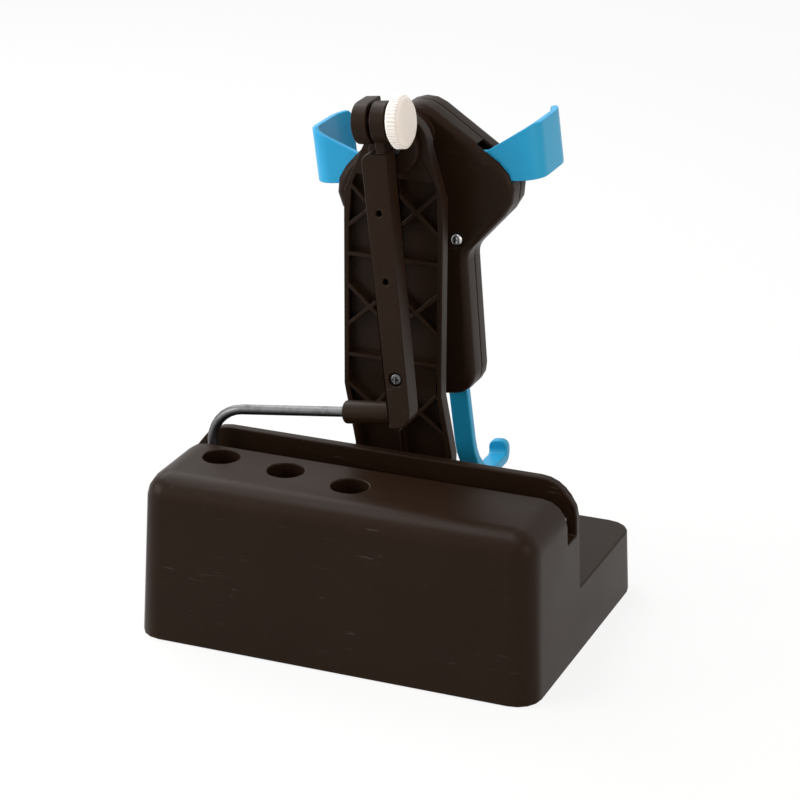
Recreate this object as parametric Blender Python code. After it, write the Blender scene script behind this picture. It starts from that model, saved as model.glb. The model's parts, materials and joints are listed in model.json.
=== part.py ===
"""Swinging phone cradle: a weighted base, a ribbed mast and a hanging gravity clamp.

Metres, +Z up. The origin lies on the floor under the middle of the base, X runs along the base and
+Y points from the slot side to the phone side. The hanging pieces are drawn in the pendulum's own
frame, whose origin is the pivot, and are then rolled by the angle at which the pendulum rests.
"""
import math

import bmesh
import bpy
from mathutils import Vector

CLEARANCE = 0.0003

# Base
BASE_LENGTH = 0.1645
BASE_DEPTH = 0.1216
BASE_LIFT = 0.0004
BASE_WALL = 0.0025
BASE_DRAFT = math.radians(2.2)
BASE_FILLET = 0.010
BLOCK_TOP = 0.0677
SHELF_TOP = 0.027
SLOT_REAR = -0.0197
SLOT_WIDTH = 0.010
SLOT_FLOOR = 0.038
SLOT_LIP_TOP = 0.050
SLOT_LIP_LENGTH = 0.008
RAIL_THICKNESS = 0.004
RAIL_TOP = 0.0715
RAIL_CORNER = 0.014
RAIL_PROUD = 0.0005
WELL_RADIUS = 0.00725
WELL_DEPTH = 0.030
WELL_WALL = 0.002
WELL_CENTRES = ((-0.0585, -0.0298), (-0.0299, -0.0326), (-0.0012, -0.0370))
SLOT_PIN_INSET = 0.0075
RAIL_INSET = 0.0013
SLOT_PIN_Z = 0.056
SLOT_PIN_RADIUS = 0.0016
SLOT_PIN_HEAD = 0.001

# Underside
PAD_SIZE = (0.118, 0.076)
PAD_THICKNESS = 0.0009
PLATE_THICKNESS = 0.003
POST_RADIUS = 0.0038
POST_INSET = 0.012
BALLAST_SIZE = (0.110, 0.024, 0.022)

# Screws
SCREW_RADIUS = 0.00125
SCREW_HEAD_RADIUS = 0.00235
SCREW_HEAD = 0.0016
SCREW_BITE = 0.008

# Mast
MAST_REAR = 0.0044
MAST_DEPTH = 0.0056
MAST_HALF_WIDTH = 0.0203
MAST_MIDDLE = -0.0012
MAST_FOOT_MIDDLE = 0.0035
MAST_JOG_START = 0.092
MAST_JOG_END = 0.068
MAST_SHOULDER_DROP = 0.020
MAST_WEB = 0.0018
MAST_RIM = 0.002
MAST_RIB = 0.0015
MAST_POCKET_BOTTOM = 0.034
MAST_POCKET_DROP = 0.012
MAST_RIB_SHARES = (0.0, 0.208, 0.486, 0.771, 1.0)
MAST_CROSS_HEIGHT = 0.017
MAST_CROSS_RISE = 0.003
MAST_HEAD_RADIUS = 0.013
FLANGE_THICKNESS = 0.004
FLANGE_REACH = 0.012
FLANGE_SCREW_REACH = 0.015

# Pivot
FOOT_GAP = 0.012
ROLL = math.radians(7.5)
SHAFT_RADIUS = 0.003
BUSH_WALL = 0.0017
BUSH_FLANGE_RADIUS = 0.0075
BUSH_FLANGE = 0.001
BUSH_LENGTH = 0.0035
MAST_BOSS_RADIUS = 0.0095
MAST_BOSS_LENGTH = 0.004
HUB_THICKNESS = 0.0037
HUB_RADIUS = 0.010
NUT_RADIUS = 0.0056
NUT_THICKNESS = 0.004

# Arm, its hinge and the rod
HINGE_Y = -0.007
HINGE_V = 0.012
BARREL_RADIUS = 0.008
EAR_SPAN = (-0.0088, -0.0028)
EYE_SPAN = (-0.0015, 0.0046)
KNOB_SPAN = (0.0051, 0.0113)
KNOB_RADIUS = 0.010
KNOB_ROUND = 0.0016
KNOB_GROOVES = 20
KNOB_GROOVE_DEPTH = 0.0004
BOLT_RADIUS = 0.002
BOLT_HEAD_RADIUS = 0.0032
BOLT_HEAD = 0.0017
INSERT_WALL = 0.0012
KNOB_FACE = 0.0015
ARM_TOP = (-0.0078, 0.0023)
ARM_BOTTOM = (-0.0060, 0.0029)
ARM_SHOULDER = 0.001
ARM_THICKNESS = 0.0094
ARM_CORNER = 0.006
ARM_HOLE_RADIUS = 0.0012
ARM_HOLES = (-0.0214, -0.0474)
ARM_SCREW_V = -0.085
SLEEVE_V = -0.0995
SLEEVE_Y = -0.015
SLEEVE_RADIUS = 0.0045
SLEEVE_END = -0.0255
ROD_RADIUS = 0.002
ROD_BEND = 0.015
ROD_REACH = -0.085
ROD_TIP = -0.127
ROD_GRIP = 0.020

# Clamp housing
HOUSING_REAR = 0.024
HOUSING_DEPTH = 0.018
HOUSING_SPLIT = 0.0335
HOUSING_WALL = 0.002
HOUSING_FILLET = 0.003
APEX_V = 0.015
APEX_ROUND = 0.012
CORNER_U = 0.0440
CORNER_V = -0.0234
CORNER_ROUND = 0.014
WAIST_V = -0.0490
WAIST_ROUND = 0.008
STEM_HALF_WIDTH = 0.0145
STEM_FOOT_HALF_WIDTH = 0.0118
STEM_BOTTOM = -0.106
STEM_ROUND = 0.009
HUB_BOSS_RADIUS = 0.0075
CLAMP_SCREW_U = 0.0118
CLAMP_SCREW_V = -0.0425
CLAMP_POST_RADIUS = 0.0026

# Jaws and foot
FOOT_TRAVEL = 0.006
JAW_TRAVEL = 0.005
JAW_U = 0.0465
JAW_TOP = 0.001
JAW_HEIGHT = 0.0215
JAW_THICKNESS = 0.0025
JAW_BEND = 0.007
JAW_CURL_START = 0.050
JAW_CURL_RADIUS = 0.0145
JAW_CURL = math.radians(43.0)
JAW_TIP_ROUND = 0.004
JAW_PLANE = 0.02825
JAW_NECK = 0.027
TAIL_INNER = 0.0105
TAIL_TOP = -0.0085
PIN_RADIUS = 0.0015
PIN_U = 0.020
SLIDER_REAR = 0.0318
SLIDER_THICKNESS = 0.0031
SLIDER_HALF_WIDTH = 0.004
SLIDER_BOTTOM = -0.078
CROSSBAR_HALF_LENGTH = 0.0225
CROSSBAR_HEIGHT = 0.006
FOOT_HALF_WIDTH = 0.004
FOOT_THICKNESS = 0.0038
FOOT_TOP = -0.060
FOOT_UNDERSIDE = -0.151
FOOT_HEEL_ROUND = 0.020
FOOT_REACH = 0.073
FOOT_LIP_ROUND = 0.004
FOOT_LIP_HEIGHT = 0.0092
FOOT_LIP_CORNER = 0.003
SPRING_TOP = -0.034
SPRING_LENGTH = 0.024
SPRING_RADIUS = 0.0018
SPRING_WIRE = 0.00045
SPRING_TURNS = 8
SPRING_POST_RADIUS = 0.001
SPRING_SEAT = 0.0027
SPRING_LUG = 0.003
FOOT_SCREWS = (-0.0665, -0.0735)

ROUND_SIDES = 20

# Values worked out from the sizes above
SLOT_FRONT = SLOT_REAR + SLOT_WIDTH
RAIL_FRONT = SLOT_FRONT + RAIL_THICKNESS
PLATE_BOTTOM = PAD_THICKNESS + CLEARANCE
PLATE_TOP = PLATE_BOTTOM + PLATE_THICKNESS
SHELF_UNDERSIDE = SHELF_TOP - BASE_WALL
SLOT_PIN_X = BASE_LENGTH / 2 - SLOT_PIN_INSET
PIVOT_HEIGHT = SHELF_TOP + FOOT_GAP - FOOT_UNDERSIDE
MAST_SHOULDER = PIVOT_HEIGHT - MAST_SHOULDER_DROP
MAST_POCKET_TOP = PIVOT_HEIGHT - MAST_POCKET_DROP
MAST_BOTTOM = SHELF_TOP + CLEARANCE
MAST_FRONT = MAST_REAR + MAST_DEPTH
FLANGE_FRONT = MAST_FRONT + FLANGE_REACH
FLANGE_SCREW_Y = MAST_FRONT + FLANGE_REACH / 2
SHAFT_BORE = SHAFT_RADIUS + CLEARANCE
BUSH_RADIUS = SHAFT_BORE + BUSH_WALL
BOSS_REAR = MAST_REAR + BUSH_FLANGE + CLEARANCE
BOSS_FRONT = MAST_FRONT + MAST_BOSS_LENGTH
HUB_FRONT = MAST_REAR - CLEARANCE
HUB_REAR = HUB_FRONT - HUB_THICKNESS
HUB_BOSS_REAR = BOSS_FRONT + BUSH_FLANGE + 2 * CLEARANCE
HUB_TOP = HINGE_V - math.sqrt(KNOB_RADIUS**2 - (HUB_REAR - HINGE_Y) ** 2) - 2 * CLEARANCE
HOUSING_FRONT = HOUSING_REAR + HOUSING_DEPTH
HOUSING_FLOOR = HOUSING_REAR + HOUSING_WALL
FRONT_COVER_REAR = HOUSING_SPLIT + CLEARANCE
BOLT_BORE = BOLT_RADIUS + CLEARANCE
INSERT_RADIUS = BOLT_BORE + INSERT_WALL
JAW_BOTTOM = JAW_TOP - JAW_HEIGHT
JAW_RISE = (JAW_TOP - TAIL_TOP) / (JAW_U - JAW_THICKNESS / 2 - JAW_NECK)
SLIDER_FRONT = SLIDER_REAR + SLIDER_THICKNESS
FOOT_REAR = SLIDER_FRONT + CLEARANCE
FOOT_FRONT = FOOT_REAR + FOOT_THICKNESS
PIN_V = (TAIL_TOP + JAW_BOTTOM + FOOT_TRAVEL) / 2
SPRING_BOTTOM = SPRING_TOP - SPRING_LENGTH
SPRING_Y = SLIDER_REAR - SPRING_RADIUS - SPRING_WIRE - CLEARANCE

AXES = {"X": (1, 2, 0), "Y": (0, 2, 1), "Z": (0, 1, 2)}


def polar(radius, angle, centre=(0.0, 0.0)):
    """A point at the angle and radius from the centre."""
    return centre[0] + radius * math.cos(angle), centre[1] + radius * math.sin(angle)


def circle(radius, centre=(0.0, 0.0), sides=ROUND_SIDES):
    """A round outline."""
    return [polar(radius, 2 * math.pi * step / sides, centre) for step in range(sides)]


def rectangle(low, high):
    """A four-point outline between two corners."""
    return [(low[0], low[1]), (high[0], low[1]), (high[0], high[1]), (low[0], high[1])]


def towards(start, end):
    """The unit vector from one point to another."""
    run = end[0] - start[0]
    rise = end[1] - start[1]
    length = math.hypot(run, rise)
    return run / length, rise / length


def rounded(corners, steps=4):
    """An outline through (a, b, radius) corners, with an arc at each one that has a radius."""
    outline = []
    for index, corner in enumerate(corners):
        radius = corner[2]
        if radius <= 0:
            outline.append(corner[:2])
            continue
        back = towards(corner, corners[index - 1])
        ahead = towards(corner, corners[(index + 1) % len(corners)])
        half = math.acos(back[0] * ahead[0] + back[1] * ahead[1]) / 2
        middle = towards((0.0, 0.0), (back[0] + ahead[0], back[1] + ahead[1]))
        reach = radius / math.sin(half)
        centre = (corner[0] + middle[0] * reach, corner[1] + middle[1] * reach)
        run = radius / math.tan(half)
        begin = math.atan2(corner[1] + back[1] * run - centre[1], corner[0] + back[0] * run - centre[0])
        end = math.atan2(corner[1] + ahead[1] * run - centre[1], corner[0] + ahead[0] * run - centre[0])
        sweep = (end - begin + math.pi) % (2 * math.pi) - math.pi
        for step in range(steps + 1):
            outline.append(polar(radius, begin + sweep * step / steps, centre))
    return outline


def inset(corners, distance):
    """The same corners moved inwards, for an outline that runs clockwise."""
    moved = []
    for index, corner in enumerate(corners):
        arrive = towards(corners[index - 1], corner)
        leave = towards(corner, corners[(index + 1) % len(corners)])
        inward = (arrive[1] + leave[1], -arrive[0] - leave[0])
        share = distance / (1 + arrive[0] * leave[0] + arrive[1] * leave[1])
        outside_turn = arrive[0] * leave[1] - arrive[1] * leave[0] < 0
        radius = corner[2] - distance if outside_turn else corner[2] + distance
        moved.append((corner[0] + inward[0] * share, corner[1] + inward[1] * share, max(radius, 0.0)))
    return moved


def make(name, shape):
    """A new object that holds the bmesh, with its faces turned outwards."""
    bmesh.ops.recalc_face_normals(shape, faces=shape.faces)
    mesh = bpy.data.meshes.new(name)
    shape.to_mesh(mesh)
    shape.free()
    piece = bpy.data.objects.new(name, mesh)
    bpy.context.scene.collection.objects.link(piece)
    return piece


def prism(name, outline, axis, start, end):
    """A solid with the outline as its section, from start to end along the axis."""
    shape = bmesh.new()
    add_prism(shape, outline, axis, start, end)
    return make(name, shape)


def add_prism(shape, outline, axis, start, end):
    """Adds one prism to a bmesh."""
    first, second, along = AXES[axis]
    rings = []
    for height in (start, end):
        ring = []
        for a, b in outline:
            place = [0.0, 0.0, 0.0]
            place[first] = a
            place[second] = b
            place[along] = height
            ring.append(shape.verts.new(place))
        rings.append(ring)
    shape.faces.new(rings[0])
    shape.faces.new(rings[1])
    count = len(outline)
    for index in range(count):
        follow = (index + 1) % count
        shape.faces.new((rings[0][index], rings[0][follow], rings[1][follow], rings[1][index]))


def prisms(name, outlines, axis, start, end):
    """Separate prisms with the same two ends, in one object."""
    shape = bmesh.new()
    for outline in outlines:
        add_prism(shape, outline, axis, start, end)
    return make(name, shape)


def turned(name, profile, axis, centre, sides=ROUND_SIDES):
    """A solid of revolution: profile points are (along, radius), and both ends close on the axis."""
    first, second, along = AXES[axis]
    shape = bmesh.new()
    rings = []
    for height, radius in profile:
        ring = []
        for a, b in circle(radius, centre, sides):
            place = [0.0, 0.0, 0.0]
            place[first] = a
            place[second] = b
            place[along] = height
            ring.append(shape.verts.new(place))
        rings.append(ring)
    for lower, upper in zip(rings, rings[1:]):
        for index in range(sides):
            follow = (index + 1) % sides
            shape.faces.new((lower[index], lower[follow], upper[follow], upper[index]))
    shape.faces.new(rings[0])
    shape.faces.new(rings[-1])
    return make(name, shape)


def combine(target, operation, tools):
    """Applies one Boolean after another, and removes the tools."""
    for tool in tools:
        modifier = target.modifiers.new("combine", "BOOLEAN")
        modifier.operation = operation
        modifier.object = tool
        modifier.solver = "EXACT"
        bpy.context.view_layer.update()
        graph = bpy.context.evaluated_depsgraph_get()
        result = bpy.data.meshes.new_from_object(target.evaluated_get(graph))
        target.modifiers.clear()
        target.data = result
        bpy.data.objects.remove(tool)
    return target


def cut(target, *tools):
    """Removes the tools' volumes from the target."""
    return combine(target, "DIFFERENCE", tools)


def fuse(target, *tools):
    """Joins the tools to the target as one solid."""
    return combine(target, "UNION", tools)


def bevel(piece, width, chosen, segments=3):
    """Rounds the edges whose middle the chosen function accepts."""
    shape = bmesh.new()
    shape.from_mesh(piece.data)
    edges = [edge for edge in shape.edges if chosen((edge.verts[0].co + edge.verts[1].co) / 2, edge)]
    bmesh.ops.bevel(shape, geom=edges, offset=width, segments=segments, profile=0.5, affect="EDGES")
    shape.to_mesh(piece.data)
    shape.free()
    return piece


def screws(name, places, axis, seat, way):
    """Numbered pan-head screws: heads start at the seat and shanks run along the way."""
    head_end = seat + way * SCREW_HEAD
    profile = (
        (seat, SCREW_HEAD_RADIUS),
        (head_end, SCREW_HEAD_RADIUS),
        (head_end, SCREW_RADIUS),
        (head_end + way * SCREW_BITE, SCREW_RADIUS),
    )
    made = []
    for number, place in enumerate(places, 1):
        made.append(steel(turned(f"{name}_{number}", profile, axis, place, 12)))
    return made


def finish(piece, colour, roughness, metallic, smooth=True):
    """Gives the piece its own material and its shading."""
    material = bpy.data.materials.new(piece.name)
    material.use_nodes = True
    shader = material.node_tree.nodes["Principled BSDF"]
    shader.inputs["Base Color"].default_value = (*colour, 1.0)
    shader.inputs["Roughness"].default_value = roughness
    shader.inputs["Metallic"].default_value = metallic
    piece.data.materials.clear()
    piece.data.materials.append(material)
    if smooth:
        piece.data.shade_smooth()
        piece.data.set_sharp_from_angle(angle=math.radians(35))
    return piece


BLACK = (0.018, 0.016, 0.014)
BLUE = (0.035, 0.24, 0.42)
WHITE = (0.72, 0.69, 0.65)
STEEL = (0.35, 0.35, 0.36)
BRASS = (0.55, 0.40, 0.16)
RUBBER = (0.02, 0.02, 0.02)


def plastic(piece):
    """Satin black moulded plastic."""
    return finish(piece, BLACK, 0.42, 0.0)


def steel(piece):
    """Bare steel."""
    return finish(piece, STEEL, 0.35, 1.0)


def base_form(name, gap, floor, step_y):
    """The stepped base outside, or the space inside it when the gap is the wall thickness."""
    lean = math.tan(BASE_DRAFT)
    rear = -BASE_DEPTH / 2 + gap
    front = BASE_DEPTH / 2 - gap
    top = BLOCK_TOP - gap
    shelf = SHELF_TOP - gap
    outline = [
        (rear + lean * floor, floor),
        (front - lean * floor, floor),
        (front - lean * shelf, shelf),
        (step_y, shelf),
        (step_y, top),
        (rear + lean * top, top),
    ]
    form = prism(name, outline, "X", -1.0, 1.0)
    for vertex in form.data.vertices:
        vertex.co.x *= BASE_LENGTH / 2 - gap - lean * vertex.co.z
    middle = (floor + top) / 2

    def outer_edge(point, edge):
        """Picks the upright corners, and the top edges on the three outer sides of the block."""
        upright = abs(edge.verts[0].co.z - edge.verts[1].co.z) > shelf / 2
        if upright:
            return abs(point.y - step_y) > BASE_WALL
        return point.z > middle and point.y < step_y - BASE_WALL

    return bevel(form, BASE_FILLET - gap, outer_edge, 4)


def post_places():
    """Centres of the four screw posts, seen from above."""
    across = BASE_LENGTH / 2 - BASE_WALL - POST_INSET
    along = BASE_DEPTH / 2 - BASE_WALL - POST_INSET
    return [(x, y) for x in (-across, across) for y in (-along, along)]


def mast_screw_places():
    """Centres of the two screws that come up through the shelf."""
    return [(MAST_FOOT_MIDDLE + side * FLANGE_SCREW_REACH, FLANGE_SCREW_Y) for side in (-1, 1)]


def rail_half_length(height):
    """Half the rail's length at a height, just inside the leaning ends of the block."""
    return BASE_LENGTH / 2 - math.tan(BASE_DRAFT) * height - RAIL_INSET


def base_shell():
    """Moulded shell with the slot, its rail, the three wells and the screw posts."""
    shell = base_form("base_shell", 0.0, BASE_LIFT, RAIL_FRONT - RAIL_PROUD)
    half = BASE_LENGTH / 2
    above = RAIL_TOP
    slot = prism("slot", rectangle((-half, SLOT_LIP_TOP), (half, above)), "Y", SLOT_REAR, SLOT_FRONT)
    pit_half = half - SLOT_LIP_LENGTH
    pit = prism("pit", rectangle((-pit_half, SLOT_FLOOR), (pit_half, above)), "Y", SLOT_REAR, SLOT_FRONT)
    cut(shell, slot, pit)
    foot_half, head_half = (rail_half_length(height) for height in (SHELF_UNDERSIDE, RAIL_TOP))
    rail_outline = rounded([
        (-foot_half, SHELF_UNDERSIDE, 0.0),
        (-head_half, RAIL_TOP, RAIL_CORNER),
        (head_half, RAIL_TOP, RAIL_CORNER),
        (foot_half, SHELF_UNDERSIDE, 0.0),
    ], 6)
    fuse(shell, prism("rail", rail_outline, "Y", SLOT_FRONT, RAIL_FRONT))
    space = base_form("space", BASE_WALL, 0.0, SLOT_REAR - BASE_WALL)
    well_floor = BLOCK_TOP - WELL_DEPTH
    bosses = [circle(WELL_RADIUS + WELL_WALL, centre) for centre in WELL_CENTRES]
    cut(space, prisms("bosses", bosses, "Z", well_floor - WELL_WALL, BLOCK_TOP))
    posts = [circle(POST_RADIUS, place, 12) for place in post_places()]
    cut(space, prisms("posts", posts, "Z", PLATE_TOP + CLEARANCE, BLOCK_TOP))
    cut(shell, space)
    wells = [circle(WELL_RADIUS, centre, 24) for centre in WELL_CENTRES]
    cut(shell, prisms("wells", wells, "Z", well_floor, BLOCK_TOP + BASE_WALL))
    pilots = [circle(SCREW_RADIUS + CLEARANCE, place, 12) for place in post_places()]
    cut(shell, prisms("pilots", pilots, "Z", 0.0, PLATE_TOP + SCREW_BITE))
    holes = [circle(SCREW_RADIUS + CLEARANCE, place, 12) for place in mast_screw_places()]
    cut(shell, prisms("holes", holes, "Z", SHELF_UNDERSIDE - BASE_WALL, SHELF_TOP + BASE_WALL))
    seat = circle(SLOT_PIN_RADIUS / 2 + CLEARANCE, (SLOT_PIN_X, SLOT_PIN_Z), 12)
    cut(shell, prism("seat", seat, "Y", SLOT_FRONT - CLEARANCE, SLOT_FRONT + RAIL_THICKNESS / 2))
    return plastic(shell)


def slot_pin():
    """Small bright pin in the rail, near the open end of the slot."""
    face = SLOT_FRONT - CLEARANCE
    profile = (
        (face - SLOT_PIN_HEAD, SLOT_PIN_RADIUS),
        (face, SLOT_PIN_RADIUS),
        (face, SLOT_PIN_RADIUS / 2),
        (SLOT_FRONT + RAIL_THICKNESS / 2 - CLEARANCE, SLOT_PIN_RADIUS / 2),
    )
    return steel(turned("slot_pin", profile, "Y", (SLOT_PIN_X, SLOT_PIN_Z), 12))


def bottom_plate():
    """Flat plate that closes the shell from below, with counterbored screw holes."""
    gap = BASE_WALL + CLEARANCE + math.tan(BASE_DRAFT) * PLATE_TOP
    half_length = BASE_LENGTH / 2 - gap
    half_depth = BASE_DEPTH / 2 - gap
    corner = BASE_FILLET - BASE_WALL
    corners = [
        (-half_length, -half_depth, corner),
        (-half_length, half_depth, corner),
        (half_length, half_depth, corner),
        (half_length, -half_depth, corner),
    ]
    plate = prism("bottom_plate", rounded(corners), "Z", PLATE_BOTTOM, PLATE_TOP)
    sinks = [circle(SCREW_HEAD_RADIUS + CLEARANCE, place, 12) for place in post_places()]
    seat = PLATE_BOTTOM + SCREW_HEAD
    cut(plate, prisms("sinks", sinks, "Z", 0.0, seat))
    holes = [circle(SCREW_RADIUS + CLEARANCE, place, 12) for place in post_places()]
    cut(plate, prisms("holes", holes, "Z", PLATE_BOTTOM, PLATE_TOP + BASE_WALL))
    return plastic(plate)


def bottom_plate_screws():
    """Four screws up into the posts."""
    seat = PLATE_BOTTOM - CLEARANCE
    return screws("bottom_plate_screw", post_places(), "Z", seat, 1)


def anti_slip_pad():
    """Thin rubber sheet under the bottom plate, which the part stands on."""
    half_length, half_depth = PAD_SIZE[0] / 2, PAD_SIZE[1] / 2
    outline = rectangle((-half_length, -half_depth), (half_length, half_depth))
    return finish(prism("anti_slip_pad", outline, "Z", 0.0, PAD_THICKNESS), RUBBER, 0.9, 0.0, False)


def ballast_weight():
    """Steel bar on the bottom plate, under the wells."""
    length, depth, height = BALLAST_SIZE
    centre = (SLOT_REAR - BASE_DEPTH / 2) / 2
    low = (-length / 2, centre - depth / 2)
    high = (length / 2, centre + depth / 2)
    bottom = PLATE_TOP + CLEARANCE
    return steel(prism("ballast_weight", rectangle(low, high), "Z", bottom, bottom + height))


def mast_middle(height):
    """Middle of the mast's width: it jogs sideways above its foot and ends over the pivot."""
    jog = (MAST_JOG_START - height) / (MAST_JOG_START - MAST_JOG_END)
    jog = min(max(jog, 0.0), 1.0)
    head = max((height - MAST_SHOULDER) / (PIVOT_HEIGHT - MAST_SHOULDER), 0.0)
    return MAST_MIDDLE + jog * (MAST_FOOT_MIDDLE - MAST_MIDDLE) - head * MAST_MIDDLE


def mast_reach(height):
    """Half the mast's width, which narrows above its shoulders."""
    head = max((height - MAST_SHOULDER) / (PIVOT_HEIGHT - MAST_SHOULDER), 0.0)
    return MAST_HALF_WIDTH + head * (MAST_HEAD_RADIUS - MAST_HALF_WIDTH)


def mast_edge(height, side):
    """A point on one edge of the mast."""
    return mast_middle(height) + side * mast_reach(height), height


def mast_pockets():
    """Pockets that leave level ribs, a middle rib and a small cross on each side of every row."""
    pockets = []
    edge = MAST_RIM - MAST_RIB / 2
    span = MAST_POCKET_TOP - MAST_POCKET_BOTTOM
    levels = [MAST_POCKET_BOTTOM + span * share for share in MAST_RIB_SHARES]
    for low, high in zip(levels, levels[1:]):
        rise = MAST_CROSS_RISE if high == levels[-1] else 0.0
        cross = (low + high) / 2 + rise
        lower = cross - MAST_CROSS_HEIGHT / 2
        upper = cross + MAST_CROSS_HEIGHT / 2
        for side in (1, -1):
            inner = {height: (mast_middle(height), height) for height in (low, lower, upper, high)}
            outer = {}
            for height in inner:
                outer[height] = (mast_edge(height, side)[0] - side * edge, height)
            heart = ((inner[lower][0] + inner[upper][0] + outer[lower][0] + outer[upper][0]) / 4, cross)
            cells = [
                [inner[high], outer[high], outer[upper], heart, inner[upper]],
                [outer[upper], outer[lower], heart],
                [inner[lower], heart, outer[lower], outer[low], inner[low]],
                [inner[upper], heart, inner[lower]],
            ]
            for cell in cells:
                corners = [(*corner, 0.0) for corner in cell[::side]]
                pockets.append([corner[:2] for corner in inset(corners, MAST_RIB / 2)])
    return pockets


def mast():
    """Ribbed upright with a foot flange and the boss that carries the pivot."""
    heights = (MAST_BOTTOM, MAST_JOG_END, MAST_JOG_START, MAST_SHOULDER)
    left = [mast_edge(height, -1) for height in heights]
    right = [mast_edge(height, 1) for height in reversed(heights)]
    centre = (0.0, PIVOT_HEIGHT)
    steps = 12
    head = [polar(MAST_HEAD_RADIUS, math.pi * (1 - step / steps), centre) for step in range(steps + 1)]
    body = prism("mast", left + head + right, "Y", MAST_REAR, MAST_FRONT)
    web = MAST_FRONT - MAST_WEB
    cut(body, prisms("pockets", mast_pockets(), "Y", MAST_REAR - MAST_WEB, web))
    fuse(body, prism("boss", circle(MAST_BOSS_RADIUS, centre), "Y", web, BOSS_FRONT))
    flange_top = MAST_BOTTOM + FLANGE_THICKNESS
    flange = rectangle(mast_edge(MAST_BOTTOM, -1), (mast_edge(MAST_BOTTOM, 1)[0], flange_top))
    fuse(body, prism("flange", flange, "Y", web, FLANGE_FRONT))
    recess = circle(BUSH_FLANGE_RADIUS + CLEARANCE, centre)
    cut(body, prism("recess", recess, "Y", MAST_REAR - MAST_WEB, BOSS_REAR))
    bore = circle(BUSH_RADIUS + CLEARANCE, centre)
    cut(body, prism("bore", bore, "Y", MAST_REAR, BOSS_FRONT + MAST_WEB))
    holes = [circle(SCREW_RADIUS + CLEARANCE, place, 12) for place in mast_screw_places()]
    cut(body, prisms("holes", holes, "Z", SHELF_TOP, MAST_BOTTOM + 2 * FLANGE_THICKNESS))
    return plastic(body)


def mast_screws():
    """Two screws up through the shelf into the mast's flange."""
    seat = SHELF_UNDERSIDE - CLEARANCE - SCREW_HEAD
    return screws("mast_screw", mast_screw_places(), "Z", seat, 1)


def bush(name, flange_start, way):
    """Flanged plain bearing in the mast's boss."""
    flange_end = flange_start + way * BUSH_FLANGE
    centre = (0.0, PIVOT_HEIGHT)
    profile = (
        (flange_start, BUSH_FLANGE_RADIUS),
        (flange_end, BUSH_FLANGE_RADIUS),
        (flange_end, BUSH_RADIUS),
        (flange_end + way * BUSH_LENGTH, BUSH_RADIUS),
    )
    sleeve = turned(name, profile, "Y", centre)
    reach = 2 * (BUSH_FLANGE + BUSH_LENGTH)
    bore = circle(SHAFT_BORE, centre)
    cut(sleeve, prism("bore", bore, "Y", flange_start - reach, flange_start + reach))
    return finish(sleeve, BRASS, 0.35, 1.0)


def hub_bracket():
    """Plate on the pivot shaft, with the ear that the arm hinges on."""
    start = math.asin(HUB_TOP / HUB_RADIUS)
    steps = 14
    arc = [polar(HUB_RADIUS, start - (math.pi + start) * step / steps) for step in range(steps + 1)]
    neck = [(EAR_SPAN[0], HUB_TOP / 2), (EAR_SPAN[0], HINGE_V)]
    neck += [(EAR_SPAN[1], HINGE_V), (EAR_SPAN[1], HUB_TOP)]
    bracket = prism("hub_bracket", arc + neck, "Y", HUB_REAR, HUB_FRONT)
    back = HUB_REAR + HUB_THICKNESS / 2
    barrel = (HINGE_Y, HINGE_V)
    nose = [polar(BARREL_RADIUS, math.pi * (0.5 + step / steps), barrel) for step in range(steps + 1)]
    ear = nose + [(back, HINGE_V - BARREL_RADIUS), (back, HINGE_V + BARREL_RADIUS)]
    fuse(bracket, prism("ear", ear, "X", *EAR_SPAN))
    cut(bracket, prism("bore", circle(SHAFT_BORE), "Y", HUB_REAR - HUB_THICKNESS, MAST_FRONT))
    bolt = circle(BOLT_BORE, barrel)
    cut(bracket, prism("bolt", bolt, "X", EAR_SPAN[0] - BOLT_HEAD, EAR_SPAN[1] + BOLT_HEAD))
    return plastic(bracket)


def pivot_shaft():
    """Steel shaft from the hub bracket through both bushes into the clamp housing."""
    end = HOUSING_FLOOR + NUT_THICKNESS + 2 * CLEARANCE
    return steel(prism("pivot_shaft", circle(SHAFT_RADIUS), "Y", HUB_REAR, end))


def shaft_nut():
    """Hexagonal nut that holds the housing on the shaft."""
    start = HOUSING_FLOOR + CLEARANCE
    nut = prism("shaft_nut", circle(NUT_RADIUS, sides=6), "Y", start, start + NUT_THICKNESS)
    cut(nut, prism("bore", circle(SHAFT_BORE), "Y", HOUSING_REAR, start + 2 * NUT_THICKNESS))
    return steel(nut)


def hinge_bolt():
    """Bolt through the ear and the arm's eye into the knob."""
    head_end = EAR_SPAN[0] - CLEARANCE
    profile = (
        (head_end - BOLT_HEAD, BOLT_HEAD_RADIUS),
        (head_end, BOLT_HEAD_RADIUS),
        (head_end, BOLT_RADIUS),
        (KNOB_SPAN[1] - KNOB_FACE - CLEARANCE, BOLT_RADIUS),
    )
    return steel(turned("hinge_bolt", profile, "X", (HINGE_Y, HINGE_V)))


def knob():
    """Hand knob with a grooved rim and a plain face."""
    start, end = KNOB_SPAN
    profile = (
        (start, KNOB_RADIUS - KNOB_ROUND),
        (start + KNOB_ROUND, KNOB_RADIUS),
        (end - KNOB_ROUND, KNOB_RADIUS),
        (end, KNOB_RADIUS - KNOB_ROUND),
    )
    centre = (HINGE_Y, HINGE_V)
    sides = 2 * KNOB_GROOVES
    wheel = turned("knob", profile, "X", centre, sides)
    for vertex in wheel.data.vertices:
        across = vertex.co.y - HINGE_Y
        up = vertex.co.z - HINGE_V
        groove = round(math.atan2(up, across) / (2 * math.pi / sides)) % 2
        share = 1 - groove * KNOB_GROOVE_DEPTH / KNOB_RADIUS
        vertex.co.y = HINGE_Y + share * across
        vertex.co.z = HINGE_V + share * up
    socket = circle(INSERT_RADIUS + CLEARANCE, centre)
    cut(wheel, prism("socket", socket, "X", start - KNOB_ROUND, end - KNOB_FACE))
    return finish(wheel, WHITE, 0.5, 0.0)


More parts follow.
